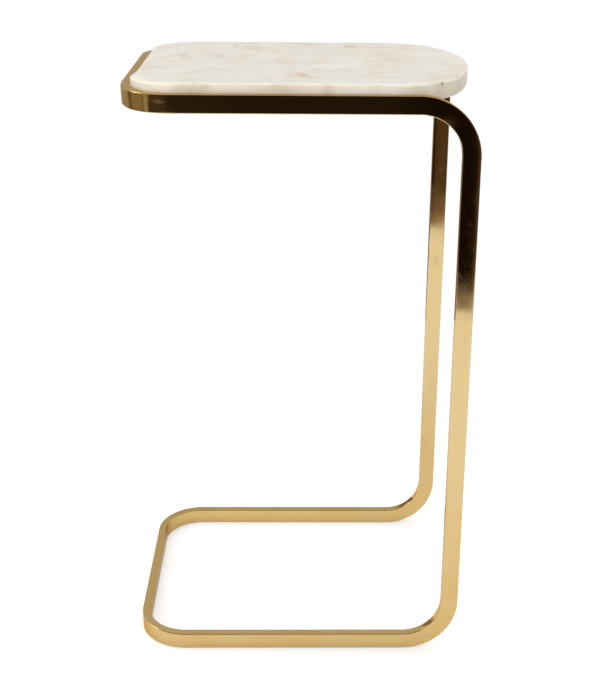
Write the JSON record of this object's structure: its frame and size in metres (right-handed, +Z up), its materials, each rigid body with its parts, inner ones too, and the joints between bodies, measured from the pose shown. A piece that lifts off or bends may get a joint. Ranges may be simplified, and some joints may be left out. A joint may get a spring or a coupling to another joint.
{
  "type": "c shaped side table",
  "caption": "C shaped side table: a loop of polished solid brass flat bar with a quartz slab set into its top frame and an open end that slides over a seat.",
  "frame": {"origin": "on the floor, in the middle of the frame's length and depth", "axes": "+Z up, +X from the open end to the two columns, -Y the front"},
  "size_m": [0.37, 0.29, 0.66],
  "materials": {
    "polished_brass": "mirror polished, uncoated",
    "strap_brass": "brushed mill finish",
    "weld_brass": "as welded, wire brushed",
    "quartz": "honed and polished, cloudy cream white",
    "pad_rubber": "clear, slightly milky",
    "insert_brass": "machined",
    "screw_steel": "plain stainless"
  },
  "bodies": {
    "root": {"front_side_bar": "polished_brass", "rear_side_bar": "polished_brass", "top_end_bow": "polished_brass", "base_end_bow": "polished_brass", "left_cross_strap": "strap_brass", "right_cross_strap": "strap_brass", "strap_welds": "weld_brass", "quartz_slab": "quartz", "slab_pads": "pad_rubber", "threaded_inserts": "insert_brass", "slab_screws": "screw_steel", "screw_washers": "screw_steel"}
  },
  "joints": []
}
